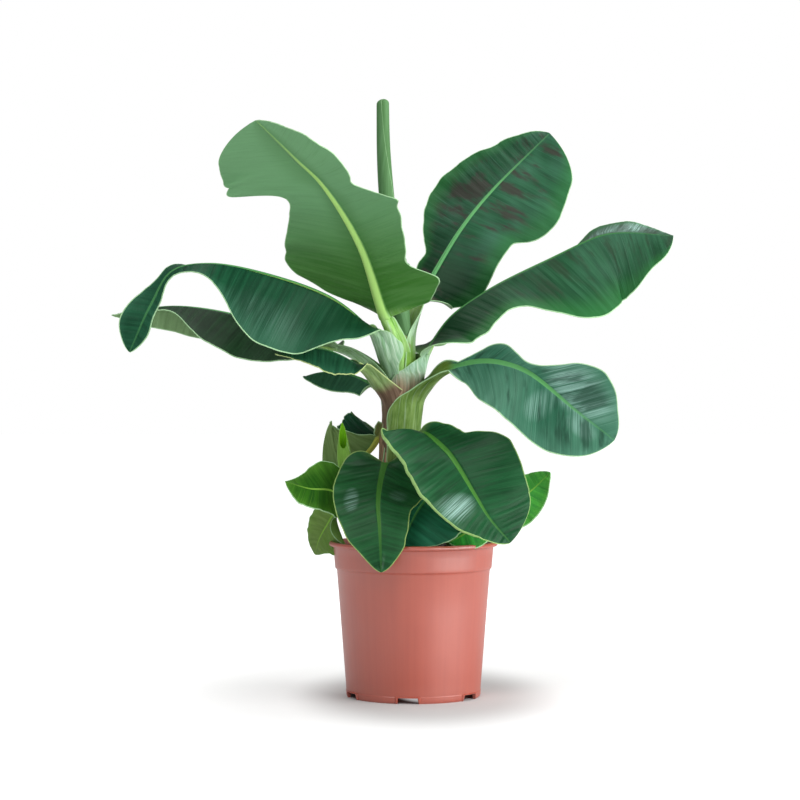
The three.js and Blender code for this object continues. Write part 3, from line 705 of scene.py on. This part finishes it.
DEEP = {
    "dark": colour(12, 54, 34), "upper": colour(22, 74, 48), "bright": colour(56, 112, 84),
    "rib": colour(82, 146, 84), "rib_under": colour(150, 196, 100), "margin": colour(168, 208, 160),
    "under": colour(96, 140, 84), "under_bright": colour(132, 170, 118), "under_dark": colour(62, 104, 56),
    "stalk": colour(132, 176, 118), "stalk_wax": colour(176, 208, 176), "stalk_dark": colour(88, 136, 66),
    "foot": colour(128, 104, 80), "foot_streak": colour(206, 164, 146), "foot_dark": colour(84, 62, 54),
    "deep": colour(6, 44, 20), "blot": colour(52, 48, 44), "channel": colour(92, 122, 40),
    "gleam": colour(168, 204, 196), "powder": colour(206, 226, 208),
    "veins": 0.35, "sheen": 0.3, "shade": 0.0, "blotch": 0.0, "rim": 0.25, "painted_glow": 0.6, "waxy": 0.4,
    "foot_from": -0.12, "rough": 0.42, "gloss": 0.1, "gleams": [], "lean": 0,
}
LIGHT = {
    **DEEP, "dark": colour(32, 82, 60), "upper": colour(46, 100, 76), "bright": colour(96, 146, 122),
}


def leaf_piece(name, leaf, tint):
    """Makes one leaf and puts it in the place of its node."""
    look = leaf_look(name, {**tint, "lean": leaf["lean"]})
    piece(name + "_sheet", sheet_mesh(name, *leaf_grid(leaf)), look, [name], sharp=60)


# The five big leaves of the crown. The highest turns its pale under side to the front.
leaf_piece("leaf_front_high", {
    **BIG,
    "rib": [(-17, -8, 432), (-35, -25, 480), (-60, -65, 555), (-105, -120, 625), (-135, -150, 652),
            (-181, -175, 695)], "share": 0.12, "levels": [395], "hug": 11,
    "right": ([60, 40, 80, 112, 124, 118, 108, 96, 82, 68, 74, 136, 132, 140, 150, 158, 160],
              [-10, -10, -8, -8, -5, -10, -8, 0, 0]),
    "left": ([76, 74, 88, 100, 66, 72, 78, 86, 92, 104, 55, 63, 72, 73, 66, 50, 50],
             [9, 8, 0, 0, 0, -5, -5, -8, -8]), "base": 0.09, "blunt": 0.8, "lobe": 2,
    "radius": [12, 11, 9.5, 8.5], "wrap_right": [110, 95, 80, 72], "wrap_left": [110, 95, 80, 72],
    "flesh": [3, 5, 7, 7.5], "rib_half": [7.4, 4.6, 1.4],
}, {
    **LIGHT, "under": colour(66, 124, 50), "under_bright": colour(84, 138, 70),
    "under_dark": colour(54, 104, 40), "painted_glow_colour": colour(118, 170, 124), "painted_glow": 0.8,
    "rib_under": colour(176, 222, 124), "stalk": colour(140, 196, 90), "stalk_wax": colour(176, 216, 140),
    "foot": colour(140, 196, 90), "foot_streak": colour(176, 216, 140), "foot_dark": colour(110, 166, 60),
})
leaf_piece("leaf_back_right_high", {
    **BIG,
    "rib": [(-5, 16, 424), (0, 24, 457), (12, 40, 496), (35, 65, 540), (66, 90, 591), (104, 115, 639),
            (183, 145, 719)], "share": 0.2, "levels": [385, 415], "hug": 13, "skip": 1,
    "right": ([58, 46, 60, 71, 70, 67, 66, 66, 68, 83, 90, 92, 92, 90, 92, 104, 110],
              [-50, -40, -25, -25, -25, -25, -20]),
    "left": ([10, 20, 28, 34, 33, 48, 63, 76, 86, 97, 98, 94, 86, 71, 66, 57, 60],
             [-25, -25, -25, -25, -25, -20, -10]), "roll": [-40], "base": 0.08, "blunt": 0.65,
    "radius": [12, 14, 14, 12, 9], "wrap_right": [120, 110, 100, 85, 75],
    "wrap_left": [120, 110, 95, 80, 75], "flesh": [1.5, 2, 3, 4, 4.5],
}, {
    **DEEP, "dark": colour(20, 60, 36), "upper": colour(34, 82, 54), "bright": colour(74, 118, 98),
    "blotch": 0.85, "rib": colour(88, 150, 92), "sheen": 0.5, "shade": 1.0, "rim": 0.5,
    "rim_colour": colour(44, 112, 52), "foot": colour(120, 170, 60), "foot_streak": colour(150, 196, 100),
    "foot_dark": colour(90, 136, 40),
})
leaf_piece("leaf_right_high", {
    **BIG,
    "rib": [(4, -10, 395), (12, -8, 430), (44, 3, 469), (95, 15, 507), (176, 32, 548), (240, 44, 577),
            (268, 48, 581), (334, 52, 577)], "share": 0.09, "levels": [345, 375, 402],
    "hug": [20.5, 22.5, 24], "petiole": [(19, -2, 428)], "skip": 2,
    "right": ([58, 59, 63, 65, 56, 50, 52, 68, 82, 96, 99, 95, 92, 96, 95, 80, 95],
              [-30, -38, -45, -60, -75, -80, -60]),
    "left": ([60, 75, 85, 90, 90, 85, 75], [-25, -24, -22, -22, -24, -18, 2, 18, 14]), "base": 0.12,
    "blunt": 0.65, "lobe": 10, "radius": [20.5, 22, 24, 22, 16, 11],
    "wrap_right": [150, 150, 140, 132, 122, 80], "wrap_left": [120, 120, 110, 95, 80],
    "flesh": [1.5, 2, 2.5, 4, 5],
}, {
    **DEEP, "dark": colour(18, 58, 34), "upper": colour(34, 80, 52), "bright": colour(74, 118, 96),
    "blotch": 0.6, "blot": colour(38, 52, 38), "rib": colour(60, 116, 60), "sheen": 0.28, "shade": 1.0,
    "rim": 0.5, "rim_colour": colour(42, 112, 50), "foot_from": 0.02, "waxy": 0.8,
    "stalk": colour(138, 182, 146), "stalk_wax": colour(180, 212, 192),
    "gleams": [(0.84, -34, 0.18, 36, 0.85)],
})
leaf_piece("leaf_right_mid", {
    **BIG,
    "rib": [(12, -24, 350), (14, -30, 383), (44, -60, 406), (82, -95, 415), (111, -115, 412),
            (140, -130, 400), (197, -150, 353), (238, -160, 321)], "share": 0.26,
    "levels": [292, 325, 352, 368], "hug": [22.5, 22.5, 24, 26], "petiole": [(26, -34, 391)], "skip": 2,
    "right": ([18, 28, 50, 58, 62, 63, 64, 63, 66], [-10, -10, -5, 0, 0, 0, 0]),
    "left": ([4, 5, 9, 15, 23, 24, 17, 11, 15, 28, 44, 53, 58, 58, 56, 49, 50], [10]),
    "roll": [-50, -60, -60], "lean": 0.75, "base": 0.12, "blunt": 0.65,
    "radius": [22.5, 22.5, 24, 20, 12, 9], "wrap_right": [105, 105, 99, 56, 64, 75],
    "wrap_left": [110, 110, 100, 85, 75, 75], "flesh": [1.2, 1.5, 2, 4, 5, 5],
}, {
    **LIGHT, "veins": 0.7, "sheen": 0.4, "blotch": 0.7, "blot": colour(26, 58, 44), "foot_from": -0.45,
    "stalk": colour(84, 116, 48), "stalk_wax": colour(122, 152, 82), "foot": colour(100, 122, 62),
    "stalk_dark": colour(62, 96, 36), "waxy": 0.15, "foot_streak": colour(140, 144, 92),
    "foot_dark": colour(66, 84, 40),
    "gleams": [(0.72, -22, 0.24, 34, 0.7), (0.62, 24, 0.08, 26, 0.3), (0.84, 12, 0.1, 14, 0.4)],
})
leaf_piece("leaf_left_high", {
    **BIG,
    "rib": [(-30, -16, 395), (-48, -40, 454), (-92, -75, 492), (-169, -105, 520), (-242, -120, 532),
            (-284, -122, 523), (-311, -122, 481), (-336, -122, 425)], "share": 0.15,
    "levels": [345, 375, 398], "hug": [18.5, 18.5, 19], "petiole": [(-35, -12, 416), (-41, -26, 437)],
    "skip": 1,
    "left": ([30, 41, 55, 74, 89, 94, 96, 90, 74, 46, 24, 14, 9, 12, 14, 24, 24],
             [-25, -52, -72, -70, -62, -35, 0, 0, 0]),
    "right": ([50, 58, 58, 77, 82, 76, 66, 54, 44, 36, 30, 24, 12, 22, 36, 48, 46],
              [-60, -60, -55, -50, -35, -15, 0, 0, 0]), "roll": [0, 0, 0, 0, 0, 0, 30, 60, 60], "base": 0.1,
    "blunt": 0.6, "lobe": 8, "radius": [18.5, 18.5, 19, 20, 20], "wrap_left": [50, 45, 64, 100, 64],
    "wrap_right": [110, 110, 100, 80, 60], "flesh": [1.5, 2, 3, 4, 5],
}, {
    **DEEP, "veins": 0.3, "sheen": 0.2, "shade": 0.6, "foot_from": -0.16, "waxy": 0.85,
    "stalk": colour(142, 184, 146), "gleams": [(0.45, -65, 0.25, 40, 0.09)],
})

# The leaves of the middle, most of them seen past the big ones, and one that leans back.
STALK = {
    "radius": [23, 19, 12, 9], "wrap_right": [50, 60, 75, 72], "wrap_left": [50, 60, 75, 72],
    "flesh": [1.2, 2, 4, 4.5],
}
leaf_piece("leaf_left_back", {
    **MIDDLING, **STALK, "hug": 20, "levels": [355, 380],
    "rib": [(-42, -10, 400), (-75, 0, 426), (-126, 15, 444), (-203, 35, 473), (-299, 46, 488),
            (-379, 40, 476)], "share": 0.16,
    "left": ([34, 41, 52, 60, 60, 50, 16, 12, 10], [-10, -40, -60, -62, -50, -42, -35, -25, -15]),
    "right": ([50, 58, 64, 66, 62, 54, 44, 40, 30], [-10, -18, -25, -25, -30, -50, -62, -55, -30]),
    "base": 0.12,
}, {
    **DEEP, "dark": colour(10, 36, 16), "upper": colour(20, 52, 26), "bright": colour(50, 84, 56),
    "sheen": 0.1, "under": colour(84, 116, 68), "painted_glow_colour": colour(112, 142, 100),
})
leaf_piece("leaf_left_mid", {
    **MIDDLING,
    "rib": [(-36, -22, 380), (-60, -40, 408), (-95, -60, 428), (-130, -76, 432), (-165, -84, 424)],
    "share": 0.26, "levels": [312, 342, 366], "hug": [21, 21.5, 22.8], "skip": 1,
    "petiole": [(-44, -24, 388)], "left": ([26, 40, 44, 36, 25], [-30, -40, -45, -35, -20]),
    "right": ([35, 50, 48, 40, 30], [-20]), "base": 0.15, "radius": [21, 21.5, 22.4, 19.5, 13, 10],
    "wrap_left": [60, 104, 104, 80, 80, 72], "wrap_right": [50, 90, 100, 85, 75, 72],
    "flesh": [1.0, 1.2, 1.5, 3.5, 4.5, 4.5],
}, {
    **DEEP, "stalk": colour(104, 132, 78), "stalk_wax": colour(136, 158, 104), "foot": colour(98, 80, 64),
    "foot_streak": colour(150, 124, 106), "stalk_dark": colour(80, 84, 56), "waxy": 0.1, "foot_from": -0.2,
    "margin": colour(190, 206, 140),
})
leaf_piece("leaf_left_low", {
    **MIDDLING, **STALK, "levels": [330, 352], "hug": 23,
    "rib": [(-34, 14, 375), (-52, 28, 391), (-74, 44, 401), (-98, 58, 405), (-120, 68, 403),
            (-138, 78, 398)], "share": 0.1, "left": ([22, 24, 28, 28, 20], [-60, -65, -68, -62, -50]),
    "right": ([20, 28, 32, 30, 22], [-15]), "base": 0.12,
}, {**DEEP, "dark": colour(42, 82, 62), "upper": colour(56, 102, 78)})
leaf_piece("leaf_back_high", {
    **MIDDLING, **STALK, "levels": [390, 415], "hug": 15,
    "rib": [(-16, 26, 432), (-22, 42, 485), (-40, 75, 545), (-66, 125, 590), (-92, 180, 596)],
    "share": 0.36, "left": ([45, 60, 62, 58, 45], [-15, -20, -20, -15, -10]),
    "right": ([45, 60, 62, 58, 45], [-15, -20, -20, -15, -10]), "base": 0.15, "radius": [15, 14, 11, 9],
}, {**LIGHT, "blotch": 0.4})

# The low leaves hang over the pot's rim. The broad one in front has its near margin rolled over.
leaf_piece("leaf_front_right_low", {
    **BIG, **STALK, "levels": [250, 275], "hug": 24,
    "rib": [(8, -34, 300), (12, -42, 326), (43, -80, 306), (77, -110, 253), (93, -118, 227),
            (118, -122, 198)], "share": 0.12,
    "left": ([24, 26, 31, 32, 34, 48, 62, 70, 70, 69, 68, 67, 69, 75, 84, 92, 90],
             [5, 10, 26, 28, 20, 12, 10]),
    "right": ([70, 78, 72, 73, 72, 63, 55, 38, 36], [66, 22, 9, 5, 0, 0, 0], [-70, -8, 0, 0, 0, 0, 0]),
    "roll": [-30], "base": 0.08, "blunt": 0.5, "lobe": 2, "fold_right": [(0.0, 0.9, 150)],
}, {
    **DEEP, "upper": colour(20, 78, 42), "dark": colour(10, 56, 28), "bright": colour(48, 108, 66),
    "rib": colour(70, 128, 48), "veins": 0.3, "margin": colour(150, 186, 112),
    "under": colour(140, 180, 104), "under_bright": colour(158, 196, 124), "gloss": 0.16, "rough": 0.36,
    "sheen": 0.2, "gleams": [(0.66, 32, 0.1, 32, 0.68)],
})
leaf_piece("leaf_front_low", {
    **BIG, **STALK, "levels": [222, 245], "hug": 24,
    "rib": [(-26, -34, 268), (-31, -48, 292), (-37, -72, 272), (-40, -99, 243), (-38, -115, 214),
            (-36, -126, 163)], "share": 0.14,
    "right": ([50, 52, 56, 56, 52, 48, 46, 36, 30], [0, 0, 0, 5, 5]),
    "left": ([34, 30, 35, 43, 50, 55, 51, 46, 41, 39, 38, 38, 37, 39, 37, 35, 35],
             [-10, -15, -15, -12, -12]), "base": 0.12, "lobe": 3,
}, {
    **DEEP, "dark": colour(14, 52, 26), "upper": colour(24, 76, 40), "bright": colour(46, 102, 58),
    "rib": colour(56, 104, 38), "margin": colour(140, 168, 96), "gloss": 0.16, "rough": 0.36, "sheen": 0.15,
    "gleams": [(0.42, 33, 0.12, 11, 0.5), (0.36, -24, 0.07, 14, 0.2)],
})
leaf_piece("leaf_back_left_low", {
    **MIDDLING, **STALK, "levels": [285, 312], "hug": 24, "flesh": [1.2, 2, 3, 3],
    "rib": [(-35, 12, 333), (-41, 16, 320), (-51, 22, 305), (-69, 28, 290), (-90, 33, 282),
            (-112, 37, 282)], "heading": (-1, 0.3), "share": 0.1,
    "left": ([8, 36, 52, 60, 66], [70, 75, 78, 78, 75]),
    "right": ([62, 68, 63, 60, 52], [62, 64, 64, 64, 64]), "blunt": 0.82, "base": 0.06,
}, {
    **DEEP, "dark": colour(22, 58, 42), "under": colour(92, 118, 66), "under_bright": colour(112, 138, 84),
    "painted_glow": 0.2, "rib_under": colour(178, 182, 84), "stalk": colour(104, 112, 60),
    "stalk_wax": colour(132, 138, 78), "waxy": 0.1,
})
leaf_piece("leaf_back_low", {
    **MIDDLING, **STALK, "levels": [275, 300], "hug": 24, "flesh": [1.2, 2, 3, 3],
    "rib": [(4, 24, 314), (18, 60, 324), (42, 110, 326), (68, 160, 312), (84, 200, 290)], "share": 0.2,
    "left": ([30, 40, 46, 46, 32], [-15, -20, -20, -15, -10]),
    "right": ([24, 30, 40, 46, 36], [30, 5, -15, -20, -15]),
}, {**DEEP, "under": colour(24, 62, 38), "under_bright": colour(36, 80, 50), "painted_glow": 0.0})

# ---------------------------------------------------------------- suckers
# Young side shoots at the foot of the stem: short brighter leaves, a rolled shoot and a short stem.
FRESH = {
    **DEEP, "dark": colour(40, 96, 22), "upper": colour(62, 124, 26), "bright": colour(112, 168, 60),
    "rib": colour(130, 180, 70), "under": colour(112, 146, 74), "under_bright": colour(140, 170, 100),
    "under_dark": colour(84, 116, 50), "stalk": colour(120, 160, 80), "stalk_wax": colour(150, 184, 110),
    "rim": 0.15,
}
SHOOT = {
    **SMALL, "radius": [5, 5, 5, 5], "wrap_right": [70], "wrap_left": [70], "flesh": [2, 2.5, 2.5],
    "rib_half": [2.6, 1.6, 0.7], "hug": 0,
}
leaf_piece("sucker_leaf_left", {
    **SHOOT, "levels": [], "petiole": [(-66, -12, 184)],
    "rib": [(-68, -16, 214), (-80, -30, 243), (-98, -45, 257), (-124, -60, 260), (-153, -72, 269)],
    "share": 0.2, "left": ([26, 30, 36, 42, 38, 35, 40, 50, 52], [-50, -55, -50, -45, -40]),
    "right": ([26, 36, 44, 46, 39, 34, 30, 25, 20], [55, 55, 50, 40, 20]),
}, {**FRESH, "dark": colour(30, 78, 18), "upper": colour(50, 104, 24)})
leaf_piece("sucker_leaf_left_drooping", {
    **SHOOT, "levels": [], "petiole": [(-70, -7, 190)],
    "rib": [(-77, 3, 225), (-92, 14, 229), (-108, 24, 207), (-117, 28, 189), (-121, 30, 173)],
    "share": 0.18, "left": ([42, 72, 74, 56, 34], [0]), "right": ([20, 34, 44, 42, 30], [0]), "roll": [60],
}, {**FRESH, "upper": colour(110, 140, 70), "dark": colour(92, 122, 56)})
leaf_piece("sucker_leaf_right", {
    **SHOOT, "levels": [], "petiole": [(53, -8, 184)],
    "rib": [(60, 2, 215), (82, 16, 222), (112, 30, 232), (148, 40, 250), (177, 46, 276)], "share": 0.15,
    "left": ([24, 28, 32, 40, 40], [30, 30, 30, 30, 20]),
    "right": ([24, 32, 36, 29, 19], [-50, -60, -60, -50, -30]),
}, {**FRESH, "dark": colour(50, 126, 54), "upper": colour(72, 158, 60)})
leaf_piece("sucker_leaf_front", {
    **SHOOT, "levels": [], "petiole": [(47, -13, 225)],
    "rib": [(37, -20, 250), (26, -40, 252), (10, -58, 236), (-3, -70, 212), (-12, -76, 190)], "share": 0.12,
    "heading": (-0.4, -1), "left": ([36, 58, 68, 68, 56], [0]), "right": ([26, 34, 36, 34, 26], [15]),
}, {**DEEP, "dark": colour(24, 90, 64), "upper": colour(38, 118, 86)})
leaf_piece("sucker_leaf_front_right", {
    **SHOOT, "levels": [], "petiole": [(55, -12, 186)],
    "rib": [(64, -14, 214), (78, -34, 228), (80, -54, 222), (68, -70, 208), (46, -78, 195)], "share": 0.15,
    "left": ([20, 24, 27, 26, 20], [-20, -40, -45, -40, -30]), "right": ([20, 22, 22, 20, 14], [15]),
}, {**FRESH, "dark": colour(22, 110, 44), "upper": colour(34, 136, 44)})


def rolled_grid(axis, radii, turns, start, mouth=0.0, tip=0.04, rows=150, columns=110):
    """A rolled leaf: a spiral carried along an axis. Round the spiral the radius grows by a fifth, so that
    its outer margin laps over. mouth is how far the front of its top is cut down, and tip is where its
    top closes in, both as a share of the length."""
    run, distance = run_through(axis)
    x = 1 - (1 - np.linspace(0, 1, rows)) ** 1.4
    k = np.linspace(0, 1, columns)
    angle = -(2 * np.pi * along(turns, x)[:, None] * k) + np.radians(along(start, x))[:, None]
    front = 0.5 - 0.5 * np.sin(angle)
    s = x[:, None] * (1 - mouth * front ** 2)
    spots = s * distance[-1]
    centre = points_at(spots, run, distance)
    left_over = np.clip((1 - s) / tip, 0, 1)
    radius = along(radii, s) * (0.82 + 0.18 * k) * np.sqrt(left_over * (2 - left_over)) + 0.15
    forward = unit(run[-1] - run[0])
    side = unit(np.cross(forward, (0, 1, 0)))
    ahead = np.cross(side, forward)
    out = np.cos(angle)[..., None] * side + np.sin(angle)[..., None] * ahead
    under = centre + radius[..., None] * out
    top = centre + np.maximum(radius - BLADE_THICK, 0.05)[..., None] * out
    return top, under, angle * radius, spots, 0.5 + 0 * s, 0 * s, np.abs(2 * k - 1) + 0 * s


def rolled_piece(name, node, grid, tint):
    """Makes one rolled leaf and puts it in the place of its node."""
    piece(name, sheet_mesh(node, *grid), leaf_look(node, tint), [node], sharp=60)


ROLLED = {
    **DEEP, "under": colour(76, 116, 70), "under_bright": colour(96, 138, 92),
    "under_dark": colour(56, 96, 46), "painted_glow": 0.0, "upper": colour(60, 130, 20),
    "dark": colour(48, 112, 14), "bright": colour(86, 150, 40),
}
spear = rolled_grid(
    [(-8, 6, 430), (-12, 8, 480), (-23, 10, 560), (-30, 8, 620), (-34, 5, 680), (-35, 3, 735), (-35, 3, 744)],
    [9, 10, 11, 10.5, 9.8, 8.6, 8], [2.1], [200, 230, 320], tip=0.02)
rolled_piece("spear_roll", "spear_leaf", spear, ROLLED)
shoot = rolled_grid(
    [(-64, -12, 176), (-74, -7, 240), (-83, -2, 300), (-86, 0, 340)],
    [9, 9, 10, 10, 6], [1.5, 1.3, 1.05], [250], mouth=0.2, tip=0.3)
rolled_piece("sucker_spear_roll", "sucker_spear", shoot, {
    **ROLLED, "under": colour(112, 160, 60), "under_bright": colour(136, 182, 84),
    "upper": colour(128, 196, 30), "dark": colour(110, 176, 24),
})
stub = rolled_grid(
    [(52, -10, 176), (49, -12, 215), (43, -14, 251)],
    [9, 7.5, 5], [1.6], [250], tip=0.08, rows=60)
rolled_piece("sucker_stem_right_roll", "sucker_stem_right", stub, {**ROLLED, "under": colour(110, 150, 70)})
